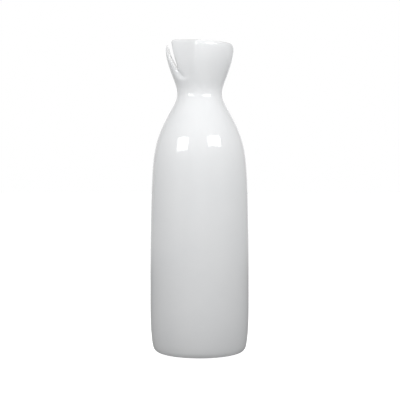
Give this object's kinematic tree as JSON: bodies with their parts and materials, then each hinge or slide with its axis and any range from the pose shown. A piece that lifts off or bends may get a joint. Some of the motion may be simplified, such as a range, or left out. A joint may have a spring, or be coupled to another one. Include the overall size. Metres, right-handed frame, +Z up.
{
  "type": "sake bottle",
  "caption": "Tall white glazed porcelain sake bottle with a flared, side-pressed collar and a notched pouring tongue; it holds, warms and pours sake.",
  "frame": {"origin": "centre of the standing face, on the table, on the bottle's own axis", "axes": "+Z up along the bottle's axis; -X towards the pouring tongue; the XZ plane is the mirror plane"},
  "size_m": [0.0598, 0.0598, 0.187],
  "materials": {
    "glazed_porcelain": "clear gloss glaze over white porcelain",
    "bare_porcelain": "matte, unglazed and slightly worn"
  },
  "bodies": {
    "root": {"foot_ring": "bare_porcelain", "base_floor": "glazed_porcelain", "body_wall": "glazed_porcelain", "shoulder": "glazed_porcelain", "neck": "glazed_porcelain", "collar": "glazed_porcelain", "pouring_tongue": "glazed_porcelain"}
  },
  "joints": []
}
